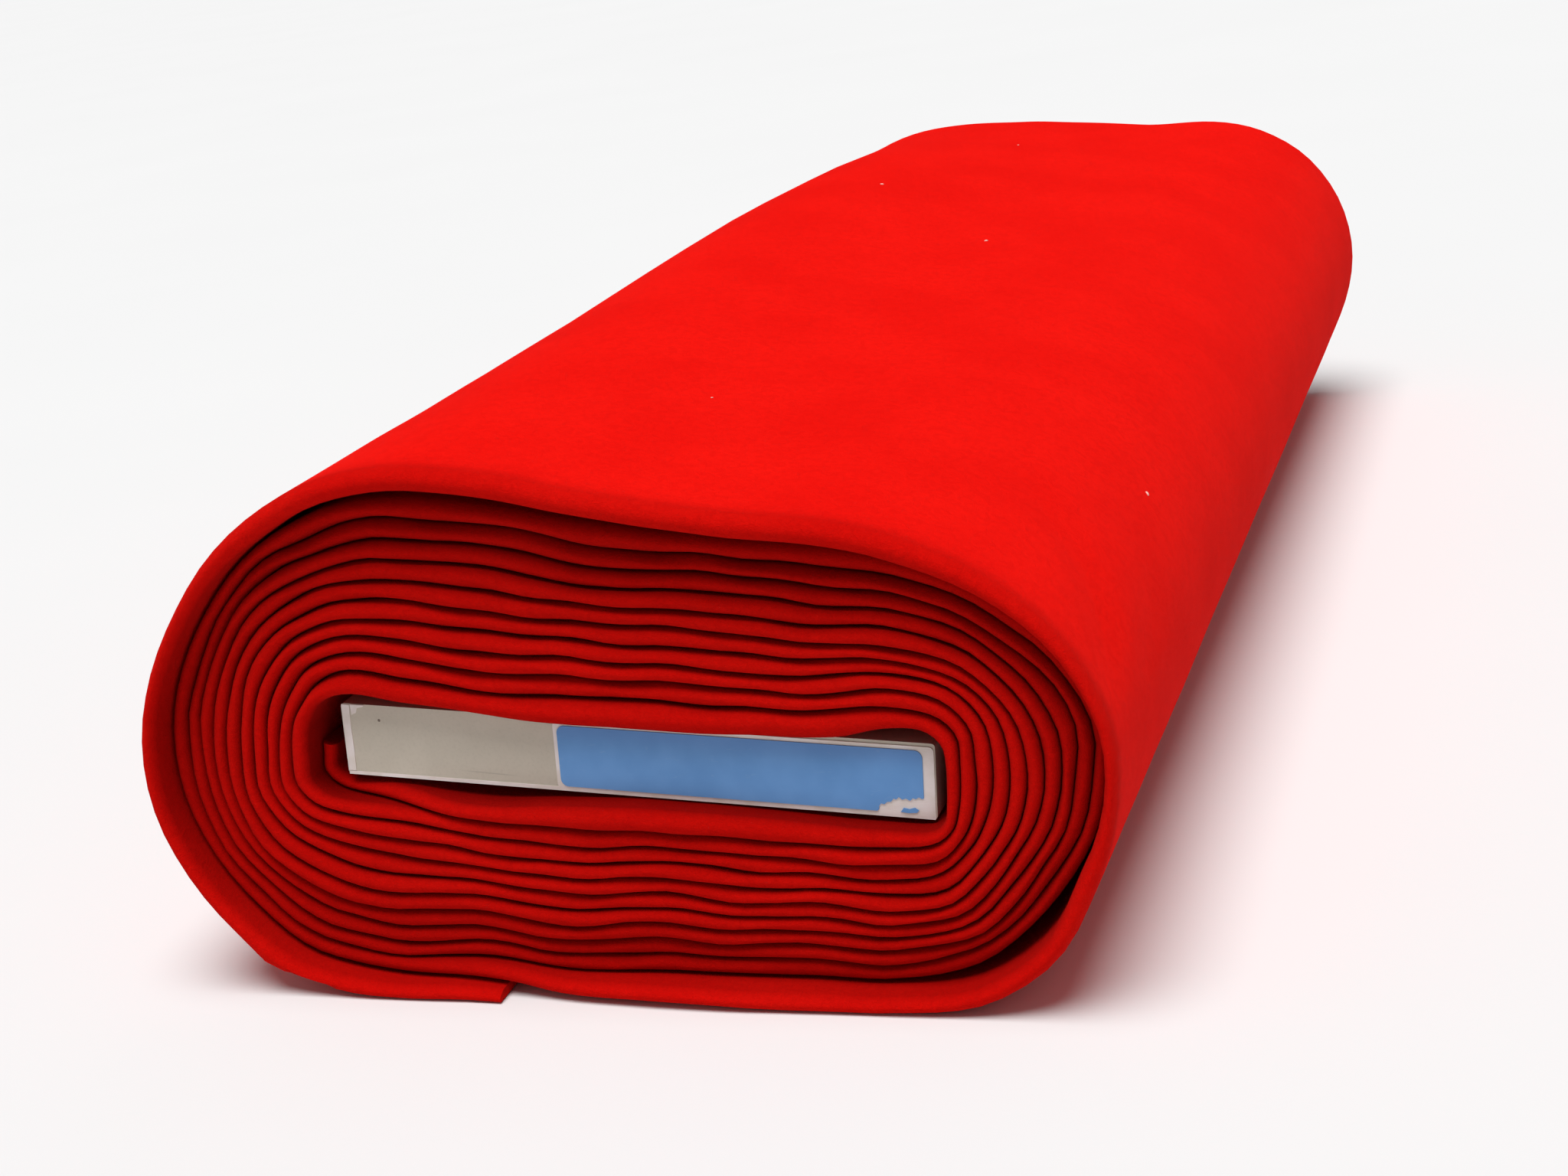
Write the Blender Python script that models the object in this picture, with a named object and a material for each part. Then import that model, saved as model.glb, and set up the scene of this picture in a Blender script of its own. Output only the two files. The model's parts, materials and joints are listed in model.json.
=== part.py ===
"""A flat-wound bolt of red felt on a cardboard board. Metres, +Z up, the roll lying along Y.

The cloth is folded in half along its length and wound flat in a spiral. Two rows of stations, seen
from the near end, give the innermost and the outermost surface of the winding round the board. Every
turn between them comes from one rule, so the turns crowd and sag together.
"""

import math

import bmesh
import bpy
from mathutils import Matrix, Vector

for old in list(bpy.data.objects):
    bpy.data.objects.remove(old, do_unlink=True)

MM = 0.001

# Driving dimensions, in millimetres.
CLOTH_FOLDED_WIDTH = 762.0
BOARD_WIDTH = 203.2
BOARD_THICK = 25.4
BOARD_ROUNDING = 1.2
BOARD_SET_BACK = 6.0
TURNS = 11
INNER_START = -0.2
SAMPLES = 70
LEAN_DEGREES = 4.5
BOARD_HEIGHT = 81.5

# The folded near edge: how far each part of it stands before the board's end.
CROWN_FORWARD = 6.0
GROOVE_FORWARD = 3.0
RIM_FORWARD = 14.0
RIM_EDGE_FORWARD = 10.5
RIM_LIP_FORWARD = 11.0
RIM_THICK = 6.0
POCKET_DEPTH = 14.0
FAR_GROOVE = 2.0

# The far end is flatter: its upper left sags and its upper right stands a little higher.
# Beyond the middle the upper left swells.
FAR_SAG = 9.0
FAR_LIFT = 6.0
LEFT_SWELL = 3.5

LABEL_LEFT = -24.0
LABEL_RIGHT = 97.6
LABEL_LOW = -10.9
LABEL_HIGH = 10.3
LABEL_THICK = 0.35
LABEL_CORNER = 2.6
PAPER_GAP = 0.3

# Stations round the winding in the order the cloth is wound, from the free end underneath.
# inner x, inner z, outer x, outer z, spread, slack
# spread: how much of the looseness the first turns take. slack: how far the last turn stands off.
STATIONS = [
    (-46, -17.0, -46, -81.2, 0.00, 0.0),
    (-23, -14.6, -24, -82.2, 0.02, 0.0),
    (0, -13.2, 2, -80.4, 0.03, 0.0),
    (45, -13.4, 45, -78.6, 0.03, 0.0),
    (84, -14.6, 88, -75.4, 0.02, 1.0),
    (100, -14.4, 117, -70.0, 0.00, 4.5),
    (105.6, -10.5, 140, -52.5, 0.00, 7.0),
    (106.6, -4, 154, -24.0, 0.00, 2.5),
    (106.6, 2, 160, 2.0, 0.00, 0.0),
    (106.3, 8, 158.5, 25.0, 0.00, 0.0),
    (104.8, 14.4, 149, 47.0, 0.01, 0.5),
    (99, 19.8, 131, 66.0, 0.02, 1.0),
    (89, 21.4, 106, 79.0, 0.03, 1.5),
    (72, 18.2, 76, 86.5, 0.04, 2.0),
    (45, 14.2, 38, 88.5, 0.045, 2.5),
    (0, 13.6, 0, 92.5, 0.045, 3.0),
    (-45, 14.2, -32, 97.0, 0.045, 3.0),
    (-75, 16.5, -66, 99.0, 0.04, 3.0),
    (-95, 18.0, -96, 93.0, 0.03, 2.5),
    (-105, 14.8, -122, 79.0, 0.02, 1.5),
    (-109.3, 8, -145, 56.5, 0.01, 0.5),
    (-111, 1, -164.5, 24.0, 0.00, 0.0),
    (-112, -7, -172.5, -8.0, 0.00, 0.0),
    (-112, -14, -168, -38.0, 0.00, 0.5),
    (-105, -19.5, -150.5, -67.0, 0.00, 1.0),
    (-86, -21.0, -120, -88.0, 0.00, 0.5),
]

COLOURS = {
    "felt_roll": (0.72, 0.012, 0.016, 1.0),
    "bolt_board": (0.42, 0.38, 0.31, 1.0),
    "board_label": (0.09, 0.19, 0.33, 1.0),
}
ROUGHNESS = {
    "felt_roll": 0.95,
    "bolt_board": 0.85,
    "board_label": 0.6,
}


def share_of(turn, spread):
    """How far out a surface lies, from 0 at the innermost to 1 after all the turns."""
    return turn / TURNS + spread * math.sin(2 * math.pi * turn / TURNS)


def closed_stations():
    """The stations with their place along one turn, and the first again, one turn further out."""
    rows = [tuple(float(value) for value in row) for row in STATIONS]
    first = rows[0]
    pitch = share_of(1, first[4])
    step = ((first[2] - first[0]) * pitch, (first[3] - first[1]) * pitch)
    rows.append(
        (first[0] + step[0], first[1] + step[1], first[2] + step[0], first[3] + step[1], first[4], first[5])
    )
    places = [0.0]
    for a, b in zip(rows, rows[1:]):
        inner = math.hypot(b[0] - a[0], b[1] - a[1])
        outer = math.hypot(b[2] - a[2], b[3] - a[3])
        places.append(places[-1] + 0.5 * (inner + outer))
    return rows, [place / places[-1] for place in places]


ROWS, PLACES = closed_stations()


def slope(index, column):
    last = len(ROWS) - 1
    before = index - 1
    after = index + 1
    lift_before = 0.0
    lift_after = 0.0
    place_before = PLACES[before] if index > 0 else PLACES[last - 1] - 1.0
    place_after = PLACES[after] if index < last else PLACES[1] + 1.0
    if index == 0:
        before = last - 1
        lift_before = ROWS[0][column] - ROWS[last][column]
    if index == last:
        after = 1
        lift_after = ROWS[last][column] - ROWS[0][column]
    rise = ROWS[after][column] + lift_after - ROWS[before][column] - lift_before
    return rise / (place_after - place_before)


def station_at(place):
    """All the columns at one place round a turn, through the stations by a smooth curve."""
    index = 0
    while index < len(PLACES) - 2 and PLACES[index + 1] <= place:
        index += 1
    span = PLACES[index + 1] - PLACES[index]
    f = (place - PLACES[index]) / span
    found = []
    for column in range(6):
        a = ROWS[index][column]
        b = ROWS[index + 1][column]
        ma = slope(index, column) * span
        mb = slope(index + 1, column) * span
        value = (2 * f**3 - 3 * f**2 + 1) * a + (f**3 - 2 * f**2 + f) * ma
        value += (3 * f**2 - 2 * f**3) * b + (f**3 - f**2) * mb
        found.append(value)
    return found


def surface_point(step):
    """The boundary between two turns, step samples along the winding, seen from the near end."""
    turn, place_step = divmod(step, SAMPLES)
    place = place_step / SAMPLES
    inner_x, inner_z, outer_x, outer_z, spread, slack = station_at(place)
    reach = math.hypot(outer_x - inner_x, outer_z - inner_z)
    out_x = (outer_x - inner_x) / reach
    out_z = (outer_z - inner_z) / reach
    tight = reach - slack
    first = share_of(place, spread)
    share = share_of(turn + place, spread) - first
    away = tight * share
    if turn >= TURNS:
        away += slack
    return Vector((inner_x + out_x * away, inner_z + out_z * away)), Vector((out_x, out_z))


def smooth(low, high, value):
    f = min(1.0, max(0.0, (value - low) / (high - low)))
    return f * f * (3 - 2 * f)


def settle(x, y, z):
    """Sag and swell along the roll, then the lean of the board on the floor. Back in metres."""
    along = y / CLOTH_FOLDED_WIDTH
    high = smooth(10.0, 90.0, z)
    towards_far = smooth(0.7, 1.0, along)
    z -= FAR_SAG * high * towards_far * math.exp(-(((x + 70.0) / 60.0) ** 2))
    z += FAR_LIFT * high * towards_far * smooth(40.0, 110.0, x)
    swell = LEFT_SWELL * math.exp(-(((along - 0.56) / 0.2) ** 2)) * smooth(0.0, 80.0, z)
    swell *= smooth(-20.0, 100.0, -x)
    x -= 0.7 * swell
    z += 0.7 * swell
    lean = math.radians(LEAN_DEGREES)
    turned_x = x * math.cos(lean) + z * math.sin(lean)
    turned_z = z * math.cos(lean) - x * math.sin(lean) + BOARD_HEIGHT
    return Vector((turned_x * MM, y * MM, max(0.0, turned_z) * MM))


def wavy(step, size):
    """The folded edges don't line up exactly: a slow wander along the winding."""
    angle = 2 * math.pi * step / SAMPLES
    return size * (0.6 * math.sin(1.7 * angle + 0.4) + 0.4 * math.sin(4.3 * angle))


def make_material(name):
    material = bpy.data.materials.new(name)
    material.use_nodes = True
    shader = material.node_tree.nodes["Principled BSDF"]
    shader.inputs["Base Color"].default_value = COLOURS[name]
    shader.inputs["Roughness"].default_value = ROUGHNESS[name]
    material.diffuse_color = COLOURS[name]
    return material


def finish(name, bm, collection):
    bmesh.ops.recalc_face_normals(bm, faces=bm.faces)
    mesh = bpy.data.meshes.new(name)
    bm.to_mesh(mesh)
    bm.free()
    mesh.materials.append(make_material(name))
    node = bpy.data.objects.new(name, mesh)
    collection.objects.link(node)
    return node


def make_felt():
    """The wound cloth as one body: ridged ends, the hollow round the board and the free end's step."""
    bm = bmesh.new()
    first = round(INNER_START * SAMPLES)
    last = TURNS * SAMPLES
    rim_from = last - SAMPLES
    rim_ramp = SAMPLES // 8
    far_y = CLOTH_FOLDED_WIDTH - RIM_FORWARD
    rows_y = [0.5, 60.0, 190.0, 330.0, 470.0, 600.0, far_y - 50.0]
    lines = {}
    outs = {}
    for step in range(first, last + SAMPLES + 1):
        lines[step], outs[step] = surface_point(step)

    def lip_point(step):
        outer = lines[step + SAMPLES]
        out = outs[step]
        thick = (outer - lines[step]).dot(out)
        return outer - out * min(RIM_THICK, 0.94 * thick)

    near_groove = {}
    far_groove = {}
    for step in range(first, last + SAMPLES + 1):
        x, z = lines[step]
        forward = GROOVE_FORWARD + wavy(step, 0.5)
        if rim_from < step < last:
            gap = (lip_point(step) - lines[step]).dot(outs[step])
            forward -= POCKET_DEPTH * smooth(1.0, 4.0, gap)
        if step >= last:
            to_edge = smooth(last, last + rim_ramp, step)
            forward += (RIM_EDGE_FORWARD - GROOVE_FORWARD) * to_edge
        near_groove[step] = bm.verts.new(settle(x, -forward, z))
        far_groove[step] = bm.verts.new(settle(x, far_y - FAR_GROOVE + wavy(step, 0.4), z))

    near_crown = {}
    far_crown = {}
    lips = {}
    for step in range(first, last + 1):
        inner = lines[step]
        outer = lines[step + SAMPLES]
        rise = smooth(rim_from - rim_ramp, rim_from + rim_ramp, step)
        if step >= rim_from:
            inner = lines[step].lerp(lip_point(step), smooth(rim_from, rim_from + rim_ramp, step))
        middle = (inner + outer) * 0.5
        forward = CROWN_FORWARD + (RIM_FORWARD - CROWN_FORWARD) * rise + wavy(step, 1.0)
        near_crown[step] = bm.verts.new(settle(middle.x, -forward, middle.y))
        far_crown[step] = bm.verts.new(settle(middle.x, far_y + wavy(step, 0.6), middle.y))
        if step > rim_from:
            forward = GROOVE_FORWARD + (RIM_LIP_FORWARD - GROOVE_FORWARD) * rise + wavy(step, 1.0)
            lips[step] = bm.verts.new(settle(inner.x, -forward, inner.y))
    lips[rim_from] = near_groove[rim_from]

    for step in range(first, last):
        near = (near_groove, near_crown)
        if step < rim_from:
            bm.faces.new((near_groove[step], near_crown[step], near_crown[step + 1], near_groove[step + 1]))
        elif step == rim_from:
            bm.faces.new((near_groove[step], lips[step + 1], near_groove[step + 1]))
            bm.faces.new((near_groove[step], near_crown[step], near_crown[step + 1], lips[step + 1]))
        else:
            bm.faces.new((near_groove[step], lips[step], lips[step + 1], near_groove[step + 1]))
            bm.faces.new((lips[step], near_crown[step], near_crown[step + 1], lips[step + 1]))
        beyond = step + SAMPLES
        bm.faces.new((near_crown[step], near_groove[beyond], near_groove[beyond + 1], near_crown[step + 1]))
        bm.faces.new((far_groove[step], far_crown[step], far_crown[step + 1], far_groove[step + 1]))
        bm.faces.new((far_crown[step], far_groove[beyond], far_groove[beyond + 1], far_crown[step + 1]))

    for step in range(first, first + SAMPLES):
        bm.faces.new((near_groove[step], near_groove[step + 1], far_groove[step + 1], far_groove[step]))
    beyond = first + SAMPLES
    bm.faces.new((near_groove[first], near_crown[first], far_crown[first], far_groove[first]))
    bm.faces.new((near_crown[first], near_groove[beyond], far_groove[beyond], far_crown[first]))

    rings = [near_groove]
    for y in rows_y:
        ring = {}
        for step in range(last, last + SAMPLES + 1):
            x, z = lines[step]
            ring[step] = bm.verts.new(settle(x, y, z))
        rings.append(ring)
    rings.append(far_groove)
    for a, b in zip(rings, rings[1:]):
        for step in range(last, last + SAMPLES):
            bm.faces.new((a[step], a[step + 1], b[step + 1], b[step]))

    tip = last + SAMPLES
    for a, b in zip(rings[1:-1], rings[2:-1]):
        bm.faces.new((a[last], a[tip], b[tip], b[last]))
    near_row = rings[1]
    bm.faces.new((near_groove[last], lips[last], near_row[last]))
    bm.faces.new((lips[last], near_crown[last], near_row[last]))
    bm.faces.new((near_crown[last], near_row[tip], near_row[last]))
    bm.faces.new((near_crown[last], near_groove[tip], near_row[tip]))
    far_row = rings[-2]
    bm.faces.new((far_groove[last], far_crown[last], far_row[last]))
    bm.faces.new((far_crown[last], far_row[tip], far_row[last]))
    bm.faces.new((far_crown[last], far_groove[tip], far_row[tip]))
    bmesh.ops.triangulate(bm, faces=bm.faces)
    return bm


def leaned(x, y, z):
    lean = math.radians(LEAN_DEGREES)
    turned_x = x * math.cos(lean) + z * math.sin(lean)
    turned_z = z * math.cos(lean) - x * math.sin(lean) + BOARD_HEIGHT
    return Vector((turned_x * MM, y * MM, turned_z * MM))


def make_board():
    """The board: a flat box with its long corners a little softened."""
    half_w = BOARD_WIDTH / 2
    half_t = BOARD_THICK / 2
    outline = []
    for sx, sz, start in ((1, -1, -90), (1, 1, 0), (-1, 1, 90), (-1, -1, 180)):
        centre = (sx * (half_w - BOARD_ROUNDING), sz * (half_t - BOARD_ROUNDING))
        for part in range(3):
            angle = math.radians(start + 45 * part)
            outline.append(
                (centre[0] + BOARD_ROUNDING * math.cos(angle), centre[1] + BOARD_ROUNDING * math.sin(angle))
            )
    far_y = CLOTH_FOLDED_WIDTH - RIM_FORWARD - BOARD_SET_BACK
    return prism(outline, 0.0, far_y)


def prism(outline, y_near, y_far):
    bm = bmesh.new()
    near = [bm.verts.new(leaned(x, y_near, z)) for x, z in outline]
    far = [bm.verts.new(leaned(x, y_far, z)) for x, z in outline]
    bm.faces.new(near)
    bm.faces.new(list(reversed(far)))
    for index in range(len(outline)):
        after = (index + 1) % len(outline)
        bm.faces.new((near[index], far[index], far[after], near[after]))
    return bm


def make_label():
    """The paper label, its lower right corner torn away along a ragged line."""
    outline = []
    corners = (
        (LABEL_LEFT + LABEL_CORNER, LABEL_LOW + LABEL_CORNER, 180),
        None,
        (LABEL_RIGHT - LABEL_CORNER, LABEL_HIGH - LABEL_CORNER, 0),
        (LABEL_LEFT + LABEL_CORNER, LABEL_HIGH - LABEL_CORNER, 90),
    )
    torn = [(82.5, 0.0), (83.8, 2.6), (87.0, 3.4), (89.6, 5.2), (93.2, 4.2), (96.0, 5.6), (97.6, 5.0)]
    for corner in corners:
        if corner is None:
            outline += [(x, LABEL_LOW + rise) for x, rise in torn]
            continue
        for part in range(5):
            angle = math.radians(corner[2] + 22.5 * part)
            outline.append(
                (corner[0] + LABEL_CORNER * math.cos(angle), corner[1] + LABEL_CORNER * math.sin(angle))
            )
    return prism(outline, -PAPER_GAP - LABEL_THICK, -PAPER_GAP)


roll = bpy.data.collections.new("roll_of_felt")
bpy.context.scene.collection.children.link(roll)
felt = finish("felt_roll", make_felt(), roll)
board = finish("bolt_board", make_board(), roll)
label = finish("board_label", make_label(), roll)

low_x = min(vertex.co.x for vertex in felt.data.vertices)
high_x = max(vertex.co.x for vertex in felt.data.vertices)
low_y = min(vertex.co.y for vertex in felt.data.vertices)
high_y = max(vertex.co.y for vertex in felt.data.vertices)
to_origin = Matrix.Translation((-(low_x + high_x) / 2, -(low_y + high_y) / 2, 0.0))
for node in (felt, board, label):
    node.data.transform(to_origin)
print("roll width", round((high_x - low_x) / MM, 1), "length", round((high_y - low_y) / MM, 1))
print("moved by", [round(value / MM, 2) for value in to_origin.translation])
print("triangles", len(felt.data.polygons))
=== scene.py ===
# %% [markdown]
# # A bolt of red felt
# A shop sells felt from a flat bolt. The cloth is folded in half along its length, so its near edge is
# a soft fold, and wound round a cardboard board. This lesson dresses a plain solid of that bolt.
# We load the solid first. It fixes every size, so each piece we add is measured against it.

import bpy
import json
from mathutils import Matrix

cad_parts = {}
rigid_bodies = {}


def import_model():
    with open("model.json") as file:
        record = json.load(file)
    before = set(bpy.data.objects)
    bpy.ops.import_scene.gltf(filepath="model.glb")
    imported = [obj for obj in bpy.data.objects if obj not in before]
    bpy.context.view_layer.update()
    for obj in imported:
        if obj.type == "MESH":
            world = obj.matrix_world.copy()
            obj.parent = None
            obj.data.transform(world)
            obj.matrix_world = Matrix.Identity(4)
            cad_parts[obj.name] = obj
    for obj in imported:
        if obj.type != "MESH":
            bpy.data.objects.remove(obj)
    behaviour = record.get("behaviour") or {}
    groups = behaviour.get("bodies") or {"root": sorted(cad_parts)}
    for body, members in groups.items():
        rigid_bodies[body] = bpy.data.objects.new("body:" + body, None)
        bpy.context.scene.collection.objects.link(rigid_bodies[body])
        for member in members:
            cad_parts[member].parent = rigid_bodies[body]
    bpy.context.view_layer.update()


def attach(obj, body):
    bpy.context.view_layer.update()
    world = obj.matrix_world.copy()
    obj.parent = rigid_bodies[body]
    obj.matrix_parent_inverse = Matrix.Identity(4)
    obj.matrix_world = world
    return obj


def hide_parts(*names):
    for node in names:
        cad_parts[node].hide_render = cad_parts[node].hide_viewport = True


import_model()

# %% Modules and units
import json
import math

import bmesh
import bpy
import numpy as np
from mathutils import Matrix, Vector
from mathutils.bvhtree import BVHTree

MM = 0.001
print("sizes of the roll are in millimetres, its meshes in metres")

# %% [markdown]
# ## Camera
# The picture was taken from the right of the roll, a little above it, with a short telephoto lens.
# We write the camera as three directions, because a measured view is easier to read that way than as
# three angles.

# %% Camera
EYE = Vector((0.30667, -1.01388, 0.35482))
RIGHT = Vector((0.94312, 0.30479, -0.13278))
UP = Vector((0.02734, 0.32692, 0.94465))
FORWARD = Vector((-0.33133, 0.89455, -0.29999))
LENS_MM = 54.51
SENSOR_MM = 36.0
PICTURE = (2048, 1536)

camera_data = bpy.data.cameras.new("camera")
camera_data.lens = LENS_MM
camera_data.sensor_width = SENSOR_MM
camera_data.clip_start = 0.02
camera_data.clip_end = 200.0
camera = bpy.data.objects.new("camera", camera_data)
bpy.context.scene.collection.objects.link(camera)
turned = Matrix((RIGHT, UP, -FORWARD)).transposed()
camera.matrix_world = Matrix.Translation(EYE) @ turned.to_4x4()
bpy.context.scene.camera = camera
print("camera at", [round(value, 3) for value in EYE])


def ray_through(x, y):
    """The direction of sight through one point of the picture."""
    focal = LENS_MM / SENSOR_MM * PICTURE[0]
    across = (x - PICTURE[0] / 2) / focal
    down = (y - PICTURE[1] / 2) / focal
    return (FORWARD + RIGHT * across - UP * down).normalized()


# %% [markdown]
# ## Shader maths that reads like maths
# A material is a web of small nodes. Placing each one by hand hides the idea, so one class wraps a
# socket and builds the Math nodes when we add or multiply. It serves geometry trees too, because they
# use the same Math nodes.

# %% A wrapped socket
class Wire:
    """A socket that varies, on which Python's operators build Math nodes."""

    def __init__(self, web, socket):
        self.web = web
        self.socket = socket

    def math(self, operation, *others):
        node = self.web.node("ShaderNodeMath", {"operation": operation}, [self, *others])
        return self.web.wire(node, 0)

    def __add__(self, other):
        return self.math("ADD", other)

    __radd__ = __add__

    def __mul__(self, other):
        return self.math("MULTIPLY", other)

    __rmul__ = __mul__

    def __sub__(self, other):
        return self.math("SUBTRACT", other)

    def __rsub__(self, other):
        return (self * -1.0) + other

    def __truediv__(self, other):
        return self.math("DIVIDE", other)

    def above(self, edge):
        return self.math("GREATER_THAN", edge)

    def ramp(self, low, high, start=0.0, end=1.0):
        """Smooth steps from start to end as this goes from low to high."""
        settings = {"interpolation_type": "SMOOTHSTEP"}
        node = self.web.node("ShaderNodeMapRange", settings, [self, low, high, start, end])
        return self.web.wire(node, 0)


class Web:
    """A node tree with one way to add a node: its type, its settings, then its inputs."""

    def __init__(self, tree):
        self.tree = tree

    def node(self, kind, settings=None, inputs=None):
        made = self.tree.nodes.new(kind)
        for name, value in (settings or {}).items():
            setattr(made, name, value)
        pairs = inputs.items() if isinstance(inputs, dict) else enumerate(inputs or [])
        for key, value in pairs:
            self.join(made.inputs[key], value)
        return made

    def join(self, socket, value):
        if isinstance(value, Wire):
            self.tree.links.new(value.socket, socket)
        elif value is not None:
            socket.default_value = value

    def wire(self, node, output=0):
        return Wire(self, node.outputs[output])


print("sockets can be wired with + - * /")

# %% [markdown]
# ## The winding
# Seen from its end, the roll is a flat spiral. Two rows of stations say where the innermost and the
# outermost cloth run round the board. One rule then spaces all the turns between them, so each turn
# sags over the board's corners a little less than the one inside it, as real cloth does.

# %% Sizes of the roll, in millimetres
CLOTH_FOLDED_WIDTH = 762.0
TURNS = 11
INNER_START = -0.2
LEAN = math.radians(4.5)
BOARD_HEIGHT = 81.5
CROWN_FORWARD = 6.0
RIM_FORWARD = 14.0
RIM_THICK = 8.5
RIM_THICK_BELOW = 6.0
INNER_TURN_FORWARD = 2.0
SET_BACK = 3.0
TUCKED_IN = 10.0
FAR_Y = CLOTH_FOLDED_WIDTH - RIM_FORWARD
FAR_SAG = 9.0
FAR_LIFT = 6.0
LEFT_SWELL = 3.5
SHIFT_X = 6.26
SHIFT_Y = -366.85

# inner x, inner z, outer x, outer z, spread, slack
STATIONS = [
    (-46, -17.0, -46, -81.2, 0.00, 0.0),
    (-23, -14.6, -24, -82.2, 0.02, 0.0),
    (0, -13.2, 2, -80.4, 0.03, 0.0),
    (45, -13.4, 45, -78.6, 0.03, 0.0),
    (84, -14.6, 88, -75.4, 0.02, 1.0),
    (100, -14.4, 117, -70.0, 0.00, 4.5),
    (105.6, -10.5, 140, -52.5, 0.00, 7.0),
    (106.6, -4, 154, -24.0, 0.00, 2.5),
    (106.6, 2, 160, 2.0, 0.00, 0.0),
    (106.3, 8, 158.5, 25.0, 0.00, 0.0),
    (104.8, 14.4, 149, 47.0, 0.01, 0.5),
    (99, 18.4, 131, 66.0, 0.02, 1.0),
    (89, 18.2, 106, 79.0, 0.03, 1.5),
    (72, 14.8, 76, 86.5, 0.04, 2.0),
    (45, 14.2, 38, 88.5, 0.045, 2.5),
    (0, 13.6, 0, 92.5, 0.045, 3.0),
    (-45, 14.2, -32, 97.0, 0.045, 3.0),
    (-75, 16.5, -66, 99.0, 0.04, 3.0),
    (-95, 18.0, -96, 93.0, 0.03, 2.5),
    (-105, 14.8, -122, 79.0, 0.02, 1.5),
    (-109.3, 8, -145, 56.5, 0.01, 0.5),
    (-111, 1, -164.5, 24.0, 0.00, 0.0),
    (-112, -7, -172.5, -8.0, 0.00, 0.0),
    (-112, -14, -168, -38.0, 0.00, 0.5),
    (-105, -19.5, -150.5, -67.0, 0.00, 1.0),
    (-86, -21.0, -120, -88.0, 0.00, 0.5),
]
print("stations round the board", len(STATIONS))


# %% The rule for every turn
LOOSEST = 0.16
LOOSENESS = 1.4


def share_of(turn, spread):
    """How far out a turn starts. The first turns are loose, the later ones were pulled tight."""
    near = (turn / TURNS) % 1.0 / LOOSEST
    bunched = near * math.exp(1.0 - near) - 0.0328 * near * LOOSEST
    return turn / TURNS + LOOSENESS * spread * bunched


def closed_stations():
    rows = [tuple(float(value) for value in row) for row in STATIONS]
    first = rows[0]
    pitch = share_of(1, first[4])
    step = ((first[2] - first[0]) * pitch, (first[3] - first[1]) * pitch)
    rows.append(
        (first[0] + step[0], first[1] + step[1], first[2] + step[0], first[3] + step[1], first[4], first[5])
    )
    places = [0.0]
    for a, b in zip(rows, rows[1:]):
        inner = math.hypot(b[0] - a[0], b[1] - a[1])
        outer = math.hypot(b[2] - a[2], b[3] - a[3])
        places.append(places[-1] + 0.5 * (inner + outer))
    return rows, [place / places[-1] for place in places]


ROWS, PLACES = closed_stations()


def slope(index, column):
    last = len(ROWS) - 1
    before = index - 1 if index > 0 else last - 1
    after = index + 1 if index < last else 1
    place_before = PLACES[before] if index > 0 else PLACES[before] - 1.0
    place_after = PLACES[after] if index < last else PLACES[after] + 1.0
    turn_step = ROWS[last][column] - ROWS[0][column]
    rise = ROWS[after][column] - ROWS[before][column]
    if index in (0, last):
        rise += turn_step
    return rise / (place_after - place_before)


def station_at(place):
    index = 0
    while index < len(PLACES) - 2 and PLACES[index + 1] <= place:
        index += 1
    span = PLACES[index + 1] - PLACES[index]
    f = (place - PLACES[index]) / span
    found = []
    for column in range(6):
        a = ROWS[index][column]
        b = ROWS[index + 1][column]
        ma = slope(index, column) * span
        mb = slope(index + 1, column) * span
        value = (2 * f**3 - 3 * f**2 + 1) * a + (f**3 - 2 * f**2 + f) * ma
        value += (3 * f**2 - 2 * f**3) * b + (f**3 - f**2) * mb
        found.append(value)
    return found


def surface_point(turn_value):
    """The boundary between two turns, and the way out from the board there."""
    turn = math.floor(turn_value + 1e-9)
    place = max(0.0, turn_value - turn)
    inner_x, inner_z, outer_x, outer_z, spread, slack = station_at(place)
    reach = math.hypot(outer_x - inner_x, outer_z - inner_z)
    out = Vector(((outer_x - inner_x) / reach, (outer_z - inner_z) / reach))
    share = share_of(turn + place, spread) - share_of(place, spread)
    away = (reach - slack) * share
    if turn >= TURNS:
        away += slack
    return Vector((inner_x, inner_z)) + out * away, out


print("stations at", [round(place, 2) for place in PLACES])


# %% [markdown]
# The path of the cloth is a row of points. Each carries what the winding needs there: the surface
# inside the cloth, the surface outside it, and how far its folded edge stands forward. No two turns
# line up exactly, so the edge wanders.

# %% Path of the cloth
def smooth(low, high, value):
    f = min(1.0, max(0.0, (value - low) / (high - low)))
    return f * f * (3 - 2 * f)


def wavy(turn_value, size):
    angle = 2 * math.pi * turn_value
    return size * (0.6 * math.sin(1.7 * angle + 0.4) + 0.4 * math.sin(4.3 * angle))


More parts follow.
